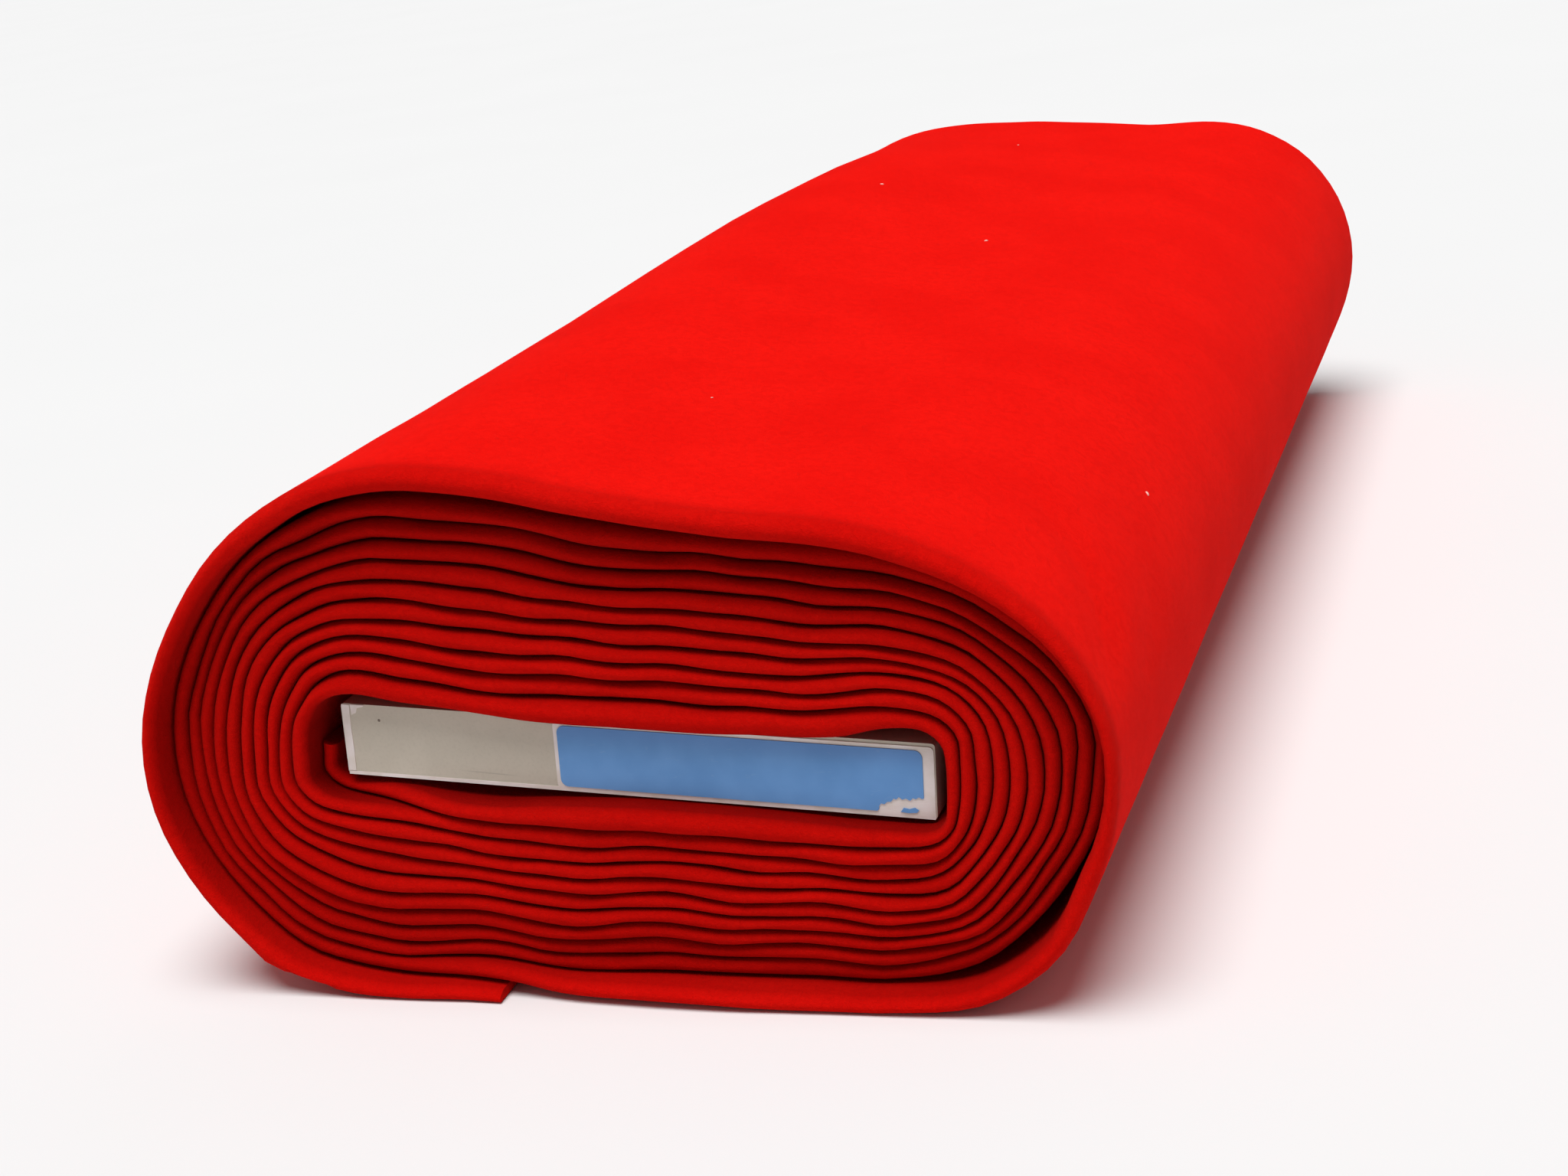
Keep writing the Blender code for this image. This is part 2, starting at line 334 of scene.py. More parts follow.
PER_TURN = 126
FOLD_ABOVE = 3.3
FOLD_BELOW = 2.1
RIM_TURN = TURNS - 1
samples = round((TURNS - INNER_START) * PER_TURN)
path_rows = []
length = 0.0
previous = None
for sample in range(samples + 1):
    turn_value = min(TURNS - 1e-6, INNER_START + sample / PER_TURN)
    inside, out = surface_point(turn_value)
    outside, _ = surface_point(turn_value + 1.0)
    if turn_value > RIM_TURN:
        thick = (outside - inside).dot(out)
        wanted = RIM_THICK_BELOW + (RIM_THICK - RIM_THICK_BELOW) * smooth(0.2, 0.42, turn_value - RIM_TURN)
        lip = outside - out * min(wanted, 0.94 * thick)
        inside = inside.lerp(lip, smooth(RIM_TURN, RIM_TURN + 0.12, turn_value))
    rise = smooth(RIM_TURN - 0.12, RIM_TURN + 0.12, turn_value)
    crown = CROWN_FORWARD + INNER_TURN_FORWARD * math.exp(-max(0.0, turn_value) / 1.2)
    crown -= SET_BACK * smooth(5.5, 9.2, turn_value)
    crown -= TUCKED_IN * smooth(0.02, 0.14, -turn_value)
    forward = crown + (RIM_FORWARD - crown) * rise + wavy(turn_value, 0.8)
    middle = (inside + outside) / 2
    if previous is not None:
        length += (middle - previous).length
    previous = middle
    place = turn_value - math.floor(turn_value)
    above = smooth(0.36, 0.46, place) * (1.0 - smooth(0.70, 0.80, place))
    deep = max(above, smooth(RIM_TURN - 0.1, RIM_TURN + 0.1, turn_value))
    fold = FOLD_BELOW + (FOLD_ABOVE - FOLD_BELOW) * deep
    path_rows.append((inside, outside, out, forward, turn_value, length, fold))

# %% [markdown]
# Across its width the cloth is a long flat loop: one ply, the soft fold at the near end, the other ply
# back, and the thin slit between the plies. The rows are close together near the fold, where the
# surface is seen best, and far apart where it is covered.

# %% Rows across the folded cloth
FACE_INSET = 0.03
FOLD_DEPTH = 1.0
FOLD_POINTS = 12
inner_rows = [FAR_Y, 600, 400, 200, 80, 25, 6]
outer_rows = [5, 11, 18, 26, 35, 45, 56, 68, 81, 95, 110, 127, 147, 172, 205, 245, 290, 340, 390]
outer_rows += [440, 490, 540, 590, 640, 685, 715, 735, FAR_Y]
profile = []
for y in inner_rows:
    profile.append((FACE_INSET, y, 0.0))
for part in range(FOLD_POINTS + 1):
    angle = math.pi * part / FOLD_POINTS
    share = 0.5 - (0.5 - FACE_INSET) * math.cos(angle)
    profile.append((share, 0.0, math.sin(angle) ** 1.25))
for y in outer_rows:
    profile.append((1.0 - FACE_INSET, y, 0.0))
profile += [(0.53, FAR_Y, 0.0), (0.52, 14.0, 0.0), (0.48, 14.0, 0.0), (0.47, FAR_Y, 0.0)]
profile.append(profile[0])
print("points across the cloth", len(profile))


# %% Carry the rows on two small meshes
def carrier(name, count, columns):
    """A mesh of loose points whose attributes a geometry tree can read by index."""
    mesh = bpy.data.meshes.new(name)
    mesh.vertices.add(count)
    for column, values in columns.items():
        flat = np.array(values, dtype=np.float32)
        kind = "FLOAT_VECTOR" if flat.ndim == 2 else "FLOAT"
        attribute = mesh.attributes.new(column, kind, "POINT")
        target = "vector" if flat.ndim == 2 else "value"
        attribute.data.foreach_set(target, flat.ravel())
    holder = bpy.data.objects.new(name, mesh)
    bpy.context.scene.collection.objects.link(holder)
    return holder


path_holder = carrier(
    "path_of_cloth",
    len(path_rows),
    {
        "inside": [(row[0].x, 0.0, row[0].y) for row in path_rows],
        "outside": [(row[1].x, 0.0, row[1].y) for row in path_rows],
        "out": [(row[2].x, 0.0, row[2].y) for row in path_rows],
        "forward": [row[3] for row in path_rows],
        "turn": [row[4] for row in path_rows],
        "run": [row[5] for row in path_rows],
        "fold": [row[6] for row in path_rows],
    },
)
profile_holder = carrier(
    "rows_of_cloth",
    len(profile),
    {
        "share": [row[0] for row in profile],
        "along": [row[1] for row in profile],
        "bulge": [row[2] for row in profile],
    },
)
print("points on the path", len(path_rows))


# %% [markdown]
# ## Geometry Nodes wind the cloth
# A grid has one column for each point of the path and one row for each point across the cloth. The
# tree looks both up by index and moves the grid there. A modifier such as Screw can't do this, because
# the turns aren't round. The last turn lies loose, so noise lifts it a little, three shallow creases
# run back from its rim, and the rim is nicked low on its left.
#
# The tree also stores how open each point lies to the light. The material paints shade with that
# attribute: the felt's colour is darker on the folds and darkest between two turns.

# %% Helpers for a geometry tree
class Growth(Web):
    """A geometry node tree with named inputs."""

    def __init__(self, name, inputs):
        tree = bpy.data.node_groups.new(name, "GeometryNodeTree")
        super().__init__(tree)
        tree.interface.new_socket("Geometry", in_out="INPUT", socket_type="NodeSocketGeometry")
        self.ids = {}
        for label, kind, value in inputs:
            socket = tree.interface.new_socket(label, in_out="INPUT", socket_type=kind)
            if value is not None and kind != "NodeSocketObject":
                socket.default_value = value
            self.ids[label] = socket.identifier
        tree.interface.new_socket("Geometry", in_out="OUTPUT", socket_type="NodeSocketGeometry")
        self.start = self.node("NodeGroupInput")
        self.end = self.node("NodeGroupOutput")

    def given(self, label):
        return self.wire(self.start, label)

    def finish(self, geometry, material):
        real = self.wire(self.node("GeometryNodeRealizeInstances", None, [geometry]))
        done = self.node("GeometryNodeSetMaterial", None, {"Geometry": real, "Material": material})
        self.join(self.end.inputs[0], self.wire(done))

    def named(self, label, kind):
        settings = {"data_type": kind}
        return self.wire(self.node("GeometryNodeInputNamedAttribute", settings, {"Name": label}))

    def look_up(self, geometry, label, kind, index):
        settings = {"data_type": kind, "domain": "POINT"}
        inputs = {"Geometry": geometry, "Value": self.named(label, kind), "Index": index}
        return self.wire(self.node("GeometryNodeSampleIndex", settings, inputs))

    def blend_vectors(self, factor, a, b):
        node = self.node("ShaderNodeMix", {"data_type": "VECTOR"}, {0: factor, 4: a, 5: b})
        return self.wire(node, 1)

    def vector(self, operation, *values):
        return self.wire(self.node("ShaderNodeVectorMath", {"operation": operation}, list(values)))

    def scaled(self, vector, factor):
        node = self.node("ShaderNodeVectorMath", {"operation": "SCALE"}, {0: vector, "Scale": factor})
        return self.wire(node)

    def noise_at(self, vector, detail):
        inputs = {"Vector": vector, "Scale": 1.0, "Detail": detail}
        return self.wire(self.node("ShaderNodeTexNoise", None, inputs))

    def upright(self, x, y, z):
        return self.wire(self.node("ShaderNodeCombineXYZ", None, [x, y, z]))

    def object_mesh(self, label):
        settings = {"transform_space": "ORIGINAL"}
        return self.wire(
            self.node("GeometryNodeObjectInfo", settings, {"Object": self.given(label)}), "Geometry"
        )


def grow(name, growth, values, base=None):
    """Runs a tree on a mesh and returns its result as a plain mesh object."""
    mesh = base if base is not None else bpy.data.meshes.new(name)
    holder = bpy.data.objects.new(name + "_seed", mesh)
    bpy.context.scene.collection.objects.link(holder)
    modifier = holder.modifiers.new("tree", "NODES")
    modifier.node_group = growth.tree
    for label, value in values.items():
        modifier[growth.ids[label]] = value
    graph = bpy.context.evaluated_depsgraph_get()
    graph.update()
    result = bpy.data.meshes.new_from_object(holder.evaluated_get(graph))
    result.name = name
    holder.modifiers.remove(modifier)
    bpy.data.objects.remove(holder)
    made = bpy.data.objects.new(name, result)
    bpy.context.scene.collection.objects.link(made)
    return made


print("geometry trees can be grown")

# %% Tree that winds the cloth
RIM_BACK = 40.0
CREASES = [
    (0.345, 30.0, 60.0, 26.0, 6.5, 2.2),
    (0.372, 52.0, 52.0, 30.0, 7.0, 1.8),
    (0.325, 66.0, 78.0, 34.0, 8.0, 1.3),
    (0.915, -2.0, 90.0, 16.0, 7.0, 2.4),
    (0.895, 2.0, 90.0, 14.0, 7.0, -1.2),
]
OUTER_RUN = path_rows[-1][5] - path_rows[-1 - PER_TURN][5]

winding = Growth(
    "wind_cloth",
    [
        ("Path", "NodeSocketObject", None),
        ("Rows", "NodeSocketObject", None),
        ("Points on path", "NodeSocketInt", 10),
        ("Points across", "NodeSocketInt", 10),
        ("Swell", "NodeSocketFloat", 1.0),
        ("Edge wander", "NodeSocketFloat", 1.0),
        ("Wave", "NodeSocketFloat", 1.0),
        ("Unevenness", "NodeSocketFloat", 0.5),
        ("Droop", "NodeSocketFloat", 1.0),
        ("Material", "NodeSocketMaterial", None),
    ],
)


def crease_depth(web, run, y, crease):
    """A narrow valley of one length, turned on the surface of the last turn."""
    place, back, degrees, half_length, half_width, depth = crease
    start_run = path_rows[-1 - PER_TURN][5] + place * OUTER_RUN
    c = math.cos(math.radians(degrees))
    s = math.sin(math.radians(degrees))
    u = run - start_run
    v = y - back
    along = (u * c + v * s) / half_length
    across = (v * c - u * s) / half_width
    distance = along * along + across * across
    fall = (distance * -1.4).math("EXPONENT")
    return fall * depth


WAVE_SCALE = 0.021
UNEVEN_SCALE = 0.034
WAVE_BACK = 75.0
HELD_BY_BOARD = 0.25
DROOP_SPAN = (-62.0, -30.0, 70.0, 86.0)
# levels of painted shade in the felt's colour: the floor between two turns, the rise on the last turn, the
# least at the far end
GROOVE_PAINTED_SHADE = 0.30
RIM_PAINTED_SHADE = 0.18
FAR_PAINTED_SHADE = 0.6


def waves(web, place, level, along):
    """All turns share one wave near the end, so they bend together and never cross."""
    wave = web.noise_at(web.scaled(place, WAVE_SCALE), 1.0)
    held = level.ramp(0.0, 2.0, HELD_BY_BOARD, 1.0) - level.ramp(TURNS - 1.5, TURNS - 0.6, 0.0, 0.8)
    uneven_at = web.vector("ADD", web.scaled(place, UNEVEN_SCALE), web.upright(level * 0.9, 0.0, 7.0))
    uneven = web.noise_at(uneven_at, 1.0)
    push = (wave - 0.5) * web.given("Wave") + (uneven - 0.5) * web.given("Unevenness")
    return push * held * along.ramp(WAVE_BACK, 0.0)


def droop(web, place, level, along):
    """The first turn's fold hangs a little over the board's upper edge."""
    x = web.wire(web.node("ShaderNodeSeparateXYZ", None, [place]), 0)
    z = web.wire(web.node("ShaderNodeSeparateXYZ", None, [place]), 2)
    from_x, full_x, to_x, end_x = DROOP_SPAN
    reach = x.ramp(from_x, full_x) * x.ramp(end_x, to_x) * z.above(0.0)
    return reach * level.ramp(1.0, 0.0) * along.ramp(3.0, 0.0) * web.given("Droop")


def painted_shade_of(web, turn, share, along, bulge):
    """Painted shade for the felt's colour: how open to the light it lies, 1 outside, less on the folds,
    least between two turns.
    """
    last = turn.ramp(RIM_TURN - 0.06, RIM_TURN + 0.06)
    outer = share.above(0.5) * last
    crown = bulge.math("MAXIMUM", outer)
    # painted shade: the folds darken from the third turn outwards, towards the loose last turn that
    # overhangs them
    painted_shade_outwards = (turn + share).ramp(3.0, TURNS - 1.0, 0.36, 0.22)
    tone = crown * painted_shade_outwards + last * RIM_PAINTED_SHADE + GROOVE_PAINTED_SHADE
    tone = tone.math("MAXIMUM", along.above(FAR_Y - 20.0) * FAR_PAINTED_SHADE)
    outside = outer * along.ramp(0.0, 7.0)
    return tone + (1.0 - tone) * outside


def wind(web):
    grid = web.node(
        "GeometryNodeMeshGrid", None, [1.0, 1.0, web.given("Points on path"), web.given("Points across")]
    )
    index = web.wire(web.node("GeometryNodeInputIndex"))
    column = (index / web.given("Points across") + 0.0001).math("FLOOR")
    row = index - column * web.given("Points across")
    path = web.object_mesh("Path")
    rows = web.object_mesh("Rows")
    inside = web.look_up(path, "inside", "FLOAT_VECTOR", column)
    outside = web.look_up(path, "outside", "FLOAT_VECTOR", column)
    out = web.look_up(path, "out", "FLOAT_VECTOR", column)
    forward = web.look_up(path, "forward", "FLOAT", column)
    turn = web.look_up(path, "turn", "FLOAT", column)
    run = web.look_up(path, "run", "FLOAT", column)
    fold = web.look_up(path, "fold", "FLOAT", column)
    share = web.look_up(rows, "share", "FLOAT", row)
    along = web.look_up(rows, "along", "FLOAT", row)
    bulge = web.look_up(rows, "bulge", "FLOAT", row)

    near = along.ramp(RIM_BACK, 0.0)
    fold_start = forward - fold + bulge * FOLD_DEPTH
    wander_at = web.upright(run * 0.012, share * 0.3, 0.0)
    wander = web.noise_at(wander_at, 3.0)
    wander = (wander - 0.5) * web.given("Edge wander")
    y = along - near * (fold_start + wander + bulge * fold) + along.ramp(600.0, FAR_Y) * wander
    place = web.blend_vectors(share, inside, outside)
    push = waves(web, place, turn + share, along) - droop(web, place, turn + share, along)

    last_turn = turn.ramp(RIM_TURN + 0.02, RIM_TURN + 0.1)
    swell_at = web.upright(run * 0.006, along * 0.007, 4.0)
    swell = web.noise_at(swell_at, 2.0)
    lift = (swell - 0.5) * web.given("Swell") * last_turn * share.above(0.5)
    lift = lift * along.ramp(0.0, 60.0, 0.35, 1.0)
    for crease in CREASES:
        lift = lift - crease_depth(web, run, along, crease) * last_turn * share.above(0.5)
    moved = web.vector("ADD", place, web.scaled(out, lift + push))
    moved = web.vector("ADD", moved, web.upright(0.0, y, 0.0))
    put = web.node("GeometryNodeSetPosition", None, {"Geometry": web.wire(grid), "Position": moved})
    # the painted shade goes on each point as an attribute, for the felt's colour
    shade_stored = web.node(
        "GeometryNodeStoreNamedAttribute",
        {"data_type": "FLOAT", "domain": "POINT"},
        {"Geometry": web.wire(put), "Name": "tone", "Value": painted_shade_of(web, turn, share, along, bulge)},
    )
    joined = web.node("GeometryNodeMergeByDistance", None, {"Geometry": web.wire(shade_stored), "Distance": 1e-4})
    web.finish(web.wire(joined), web.given("Material"))


wind(winding)
print("nodes in the winding tree", len(winding.tree.nodes))

# %% [markdown]
# ## Felt
# Felt is matted fibre. From a step away it is one deep red. Closer, the colour is mottled where the
# fibres bunch, and short hairs catch the light. Three sizes of noise do this: clouds, bunches and
# single fibres. The same noises raise the surface, so shade and colour agree.

# %% A finish with its coordinates
class Finish(Web):
    """A material with a Principled shader, read from the piece's own coordinates."""

    def __init__(self, name, roughness, specular=0.3, sheen=0.0, tint=(1, 1, 1, 1)):
        self.material = bpy.data.materials.new(name)
        self.material.use_nodes = True
        super().__init__(self.material.node_tree)
        self.shader = self.tree.nodes["Principled BSDF"]
        self.shader.inputs["Roughness"].default_value = roughness
        self.shader.inputs["Specular IOR Level"].default_value = specular
        self.shader.inputs["Sheen Weight"].default_value = sheen
        self.shader.inputs["Sheen Roughness"].default_value = 0.45
        self.shader.inputs["Sheen Tint"].default_value = tint
        coordinates = self.node("ShaderNodeTexCoord")
        self.place = Wire(self, coordinates.outputs["Object"])

    def stretched(self, vector, factors):
        node = self.node("ShaderNodeVectorMath", {"operation": "MULTIPLY"}, [vector, factors])
        return self.wire(node)

    def noise(self, vector, scale, detail=2.0, distortion=0.0, roughness=0.5):
        inputs = {"Vector": vector, "Scale": scale, "Detail": detail, "Roughness": roughness}
        inputs["Distortion"] = distortion
        return self.wire(self.node("ShaderNodeTexNoise", None, inputs))

    def mix(self, factor, a, b):
        node = self.node("ShaderNodeMix", {"data_type": "RGBA"}, {0: factor, 6: a, 7: b})
        return self.wire(node, 2)

    def colour(self, wire):
        self.join(self.shader.inputs["Base Color"], wire)

    def bump(self, height, distance, strength=1.0):
        inputs = {"Height": height, "Distance": distance, "Strength": strength}
        self.join(self.shader.inputs["Normal"], self.wire(self.node("ShaderNodeBump", None, inputs)))

    def part(self, vector, axis):
        return self.wire(self.node("ShaderNodeSeparateXYZ", None, [vector]), axis)

    def attribute(self, name):
        node = self.node("ShaderNodeAttribute", {"attribute_name": name})
        return self.wire(node, "Fac")


print("a finish reads the place of each point in the roll")


# %% Red felt
def make_felt():
    felt = Finish("red_felt", 1.0, specular=0.03, sheen=0.10, tint=(1.0, 0.05, 0.03, 1.0))
    tone = felt.attribute("tone")
    clouds = felt.noise(felt.place, 20.0, 2.0)
    bunches = felt.noise(felt.place, 260.0, 4.0, 1.2, 0.6)
    lying = felt.stretched(felt.place, (1.0, 0.38, 1.0))
    fibres = felt.noise(lying, 1500.0, 3.0, 2.5, 0.65)
    crossing = felt.stretched(felt.place, (0.42, 1.0, 0.8))
    fibres_across = felt.noise(crossing, 1300.0, 2.0, 2.0, 0.6)
    nap = fibres.math("MAXIMUM", fibres_across)
    body = felt.mix(clouds.ramp(0.3, 0.7), (0.86, 0.0050, 0.0026, 1), (0.92, 0.0066, 0.0034, 1))
    matted = felt.mix(bunches.ramp(0.38, 0.68, 0.0, 0.35), body, (0.72, 0.0028, 0.0018, 1))
    caught = felt.mix(nap.ramp(0.6, 0.85, 0.0, 0.35), matted, (1.0, 0.012, 0.006, 1))
    # painted shade: the felt's colour darkens towards near black on the folds and between turns, by the
    # stored attribute
    felt.colour(felt.mix(tone, (0.02, 0.00005, 0.0002, 1), caught))
    height = bunches * 0.5 + nap * 0.45 + clouds * 0.15
    felt.bump(height, 0.0010, 0.8)
    return felt.material


red_felt = make_felt()
print("felt is matted")

# %% [markdown]
# Now the tree runs once, and the result becomes a plain mesh. The cut ends of the cloth are still
# open, so we fill them. Last, the whole roll sags at its far end and leans, as the solid does.

# %% Wind the cloth
def settle(points):
    """The far end's sag, the swell and the lean of the whole roll, on points in millimetres."""
    x, y, z = points[:, 0].copy(), points[:, 1].copy(), points[:, 2].copy()

    def step(low, high, value):
        f = np.clip((value - low) / (high - low), 0.0, 1.0)
        return f * f * (3 - 2 * f)

    along = y / CLOTH_FOLDED_WIDTH
    high = step(10.0, 90.0, z)
    far = step(0.7, 1.0, along)
    z = z - FAR_SAG * high * far * np.exp(-(((x + 70.0) / 60.0) ** 2))
    z = z + FAR_LIFT * high * far * step(40.0, 110.0, x)
    swell = LEFT_SWELL * np.exp(-(((along - 0.56) / 0.2) ** 2)) * step(0.0, 80.0, z)
    swell = swell * step(-20.0, 100.0, -x)
    x = x - 0.7 * swell
    z = z + 0.7 * swell
    return lean_over(np.stack([x, y, z], 1), True)


def lean_over(points, rests=False):
    """Board millimetres, seen from the near end, to the roll's own metres."""
    x, y, z = points[:, 0], points[:, 1], points[:, 2]
    leaned_x = x * math.cos(LEAN) + z * math.sin(LEAN) + SHIFT_X
    leaned_z = z * math.cos(LEAN) - x * math.sin(LEAN) + BOARD_HEIGHT
    if rests:
        leaned_z = np.maximum(0.05, leaned_z)
    return np.stack([leaned_x, y + SHIFT_Y, leaned_z], 1) * MM


def points_of(mesh):
    flat = np.empty(len(mesh.vertices) * 3, dtype=np.float64)
    mesh.vertices.foreach_get("co", flat)
    return flat.reshape(-1, 3)


def put_points(mesh, points):
    mesh.vertices.foreach_set("co", points.astype(np.float32).ravel())
    mesh.update()


def close_ends(mesh):
    bm = bmesh.new()
    bm.from_mesh(mesh)
    open_edges = [edge for edge in bm.edges if edge.is_boundary]
    bmesh.ops.holes_fill(bm, edges=open_edges, sides=0)
    bm.normal_update()
    long_faces = [face for face in bm.faces if len(face.verts) > 4]
    bmesh.ops.triangulate(bm, faces=long_faces)
    bmesh.ops.recalc_face_normals(bm, faces=bm.faces)
    left_open = sum(1 for edge in bm.edges if edge.is_boundary)
    bm.to_mesh(mesh)
    bm.free()
    return left_open


cloth = grow(
    "felt_cloth",
    winding,
    {
        "Path": path_holder,
        "Rows": profile_holder,
        "Points on path": len(path_rows),
        "Points across": len(profile),
        "Swell": 2.2,
        "Edge wander": 3.0,
        "Wave": 9.0,
        "Unevenness": 2.4,
        "Droop": 2.6,
        "Material": red_felt,
    },
)
left_open = close_ends(cloth.data)
put_points(cloth.data, settle(points_of(cloth.data)))
for helper in (path_holder, profile_holder):
    bpy.data.objects.remove(helper)
cloth.data.polygons.foreach_set("use_smooth", [True] * len(cloth.data.polygons))
cloth.data.set_sharp_from_angle(angle=math.radians(60))
triangles = sum(len(polygon.vertices) - 2 for polygon in cloth.data.polygons)
print("cloth triangles", triangles, "open edges left", left_open)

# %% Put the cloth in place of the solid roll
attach(cloth, "root")
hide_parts("felt_roll")
print("the cloth stands for the solid roll")

# %% [markdown]
# ## The board
# The cloth is wound on a slab of corrugated board in a paper wrap. From the end we see plain greyish
# paper, a folded strip at the left, a pale strip along the low edge and a torn scrap at one corner. The
# strips are thin plates of their own, so they have a real edge. The marks on the paper are only colour,
# placed in the board's own millimetres, which the shader works out from the roll's coordinates.

# %% Plates in the board's own plane
BOARD_HALF = 101.6
BOARD_HALF_THICK = 12.7
BOARD_ROUNDING = 1.2
BOARD_SET_BACK = 6.0
PAPER = 0.3
GLUED = 0.03


def rounded_box(low_x, high_x, low_z, high_z, rounding, steps=3):
    outline = []
    corners = (
        (high_x - rounding, low_z + rounding, -90),
        (high_x - rounding, high_z - rounding, 0),
        (low_x + rounding, high_z - rounding, 90),
        (low_x + rounding, low_z + rounding, 180),
    )
    for x, z, start in corners:
        for step in range(steps + 1):
            angle = math.radians(start + 90 * step / steps)
            outline.append((x + rounding * math.cos(angle), z + rounding * math.sin(angle)))
    return outline


def plate(bm, outline, y_near, y_far, slot=0):
    """A flat plate from an outline that runs counter-clockwise as seen from the near end."""
    count = len(outline)
    rows = [(x, y_near, z) for x, z in outline] + [(x, y_far, z) for x, z in outline]
    placed = lean_over(np.array(rows, dtype=float))
    verts = [bm.verts.new(point) for point in placed]
    faces = [bm.faces.new(verts[:count]), bm.faces.new(verts[:count - 1:-1])]
    for index in range(count):
        after = (index + 1) % count
        faces.append(
            bm.faces.new((verts[index], verts[index + count], verts[after + count], verts[after]))
        )
    for face in faces:
        face.material_index = slot


def mesh_piece(name, bm, materials):
    bm.normal_update()
    long_faces = [face for face in bm.faces if len(face.verts) > 4]
    bmesh.ops.triangulate(bm, faces=long_faces)
    bmesh.ops.recalc_face_normals(bm, faces=bm.faces)
    mesh = bpy.data.meshes.new(name)
    bm.to_mesh(mesh)
    bm.free()
    for material in materials:
        mesh.materials.append(material)
    made = bpy.data.objects.new(name, mesh)
    bpy.context.scene.collection.objects.link(made)
    return made


print("a plate is an outline with a thickness")


# %% Paper and print
def board_place(finish):
    """The board's own x and z in millimetres, from the roll's metres."""
    x = finish.part(finish.place, 0) * 1000.0 - SHIFT_X
    z = finish.part(finish.place, 2) * 1000.0 - BOARD_HEIGHT
    across = x * math.cos(LEAN) - z * math.sin(LEAN)
    up = x * math.sin(LEAN) + z * math.cos(LEAN)
    return across, up


def spot(across, up, x, z, size):
    dx = (across - x) / size
    dz = (up - z) / size
    return (dx * dx + dz * dz).ramp(1.0, 0.4)


def make_board_paper():
    paper = Finish("board_paper", 0.86, specular=0.15)
    across, up = board_place(paper)
    stains = paper.noise(paper.place, 45.0, 3.0)
    fine = paper.noise(paper.place, 900.0, 3.0)
    body = paper.mix(stains.ramp(0.3, 0.7), (0.555, 0.50, 0.415, 1), (0.61, 0.55, 0.46, 1))
    body = paper.mix(fine.ramp(0.45, 0.75, 0.0, 0.2), body, (0.44, 0.39, 0.32, 1))
    scratch = (up + across * 0.02 + 9.6).math("ABSOLUTE").ramp(0.35, 0.05)
    scratch = scratch * across.ramp(-62.0, -52.0) * across.ramp(-38.0, -46.0) * 0.35
    body = paper.mix(scratch, body, (0.28, 0.25, 0.21, 1))
    speck = spot(across, up, -88.0, 7.4, 0.6)
    body = paper.mix(speck * 0.8, body, (0.10, 0.06, 0.05, 1))
    paper.colour(body)
    paper.bump(fine * 0.5 + stains, 0.0002, 0.5)
    return paper.material


def make_edge_paper():
    paper = Finish("edge_paper", 0.8, specular=0.2)
    fibres = paper.noise(paper.stretched(paper.place, (0.3, 1.0, 1.0)), 1400.0, 3.0, 1.5)
    worn = paper.noise(paper.place, 120.0, 2.0)
    body = paper.mix(worn.ramp(0.35, 0.7), (0.86, 0.78, 0.76, 1), (0.76, 0.68, 0.62, 1))
    paper.colour(paper.mix(fibres.ramp(0.5, 0.8, 0.0, 0.25), body, (0.90, 0.84, 0.80, 1)))
    paper.bump(fibres, 0.0002, 0.5)
    return paper.material


def make_label_print():
    label = Finish("label_print", 0.48, specular=0.35)
    across, up = board_place(label)
    fade = label.noise(label.place, 60.0, 3.0)
    rubbed = label.noise(label.stretched(label.place, (0.4, 1.0, 1.4)), 500.0, 3.0, 1.0)
    body = label.mix(fade.ramp(0.3, 0.7), (0.115, 0.30, 0.64, 1), (0.14, 0.34, 0.70, 1))
    # painted shade: the blue darkens towards the label's upper edge
    body = label.mix(up.ramp(3.0, 10.0, 0.0, 0.35), body, (0.075, 0.16, 0.42, 1))
    body = label.mix(rubbed.ramp(0.62, 0.8, 0.0, 0.25), body, (0.30, 0.45, 0.70, 1))
    label.colour(body)
    return label.material


board_paper = make_board_paper()
edge_paper = make_edge_paper()
label_print = make_label_print()
print("paper and print are ready")

# %% Board with its strips
strips = [
    [(-101.2, -12.62), (101.0, -12.62), (101.3, -12.0), (101.2, -10.2), (60.0, -10.75), (0.0, -11.2),
     (-60.0, -11.4), (-101.0, -11.5)],
    [(-101.4, -11.3), (-98.6, -11.3), (-98.45, -3.0), (-98.6, 4.0), (-98.4, 12.3), (-101.2, 12.45)],
    [(-97.9, 8.8), (-96.2, 9.6), (-95.6, 11.4), (-93.4, 12.0), (-93.0, 12.5), (-98.0, 12.5)],
]
board_bm = bmesh.new()
board_outline = rounded_box(-BOARD_HALF, BOARD_HALF, -BOARD_HALF_THICK, BOARD_HALF_THICK, BOARD_ROUNDING)
plate(board_bm, board_outline, 0.0, FAR_Y - BOARD_SET_BACK)
for strip in strips:
    plate(board_bm, strip, -PAPER, GLUED, slot=1)
label_backing = rounded_box(-25.4, 101.2, -11.9, 11.6, 1.6)
plate(board_bm, label_backing, -PAPER - GLUED, GLUED, slot=1)
board = mesh_piece("board", board_bm, [board_paper, edge_paper])
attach(board, "root")
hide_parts("bolt_board")
print("board with", len(strips) + 1, "paper plates")

# %% [markdown]
# ## The label
# A blue paper label is glued over the strip. Its low right corner is torn off, so the pale backing shows
# there. A tear is never straight, so its line is walked in short steps, with fibres of different lengths.

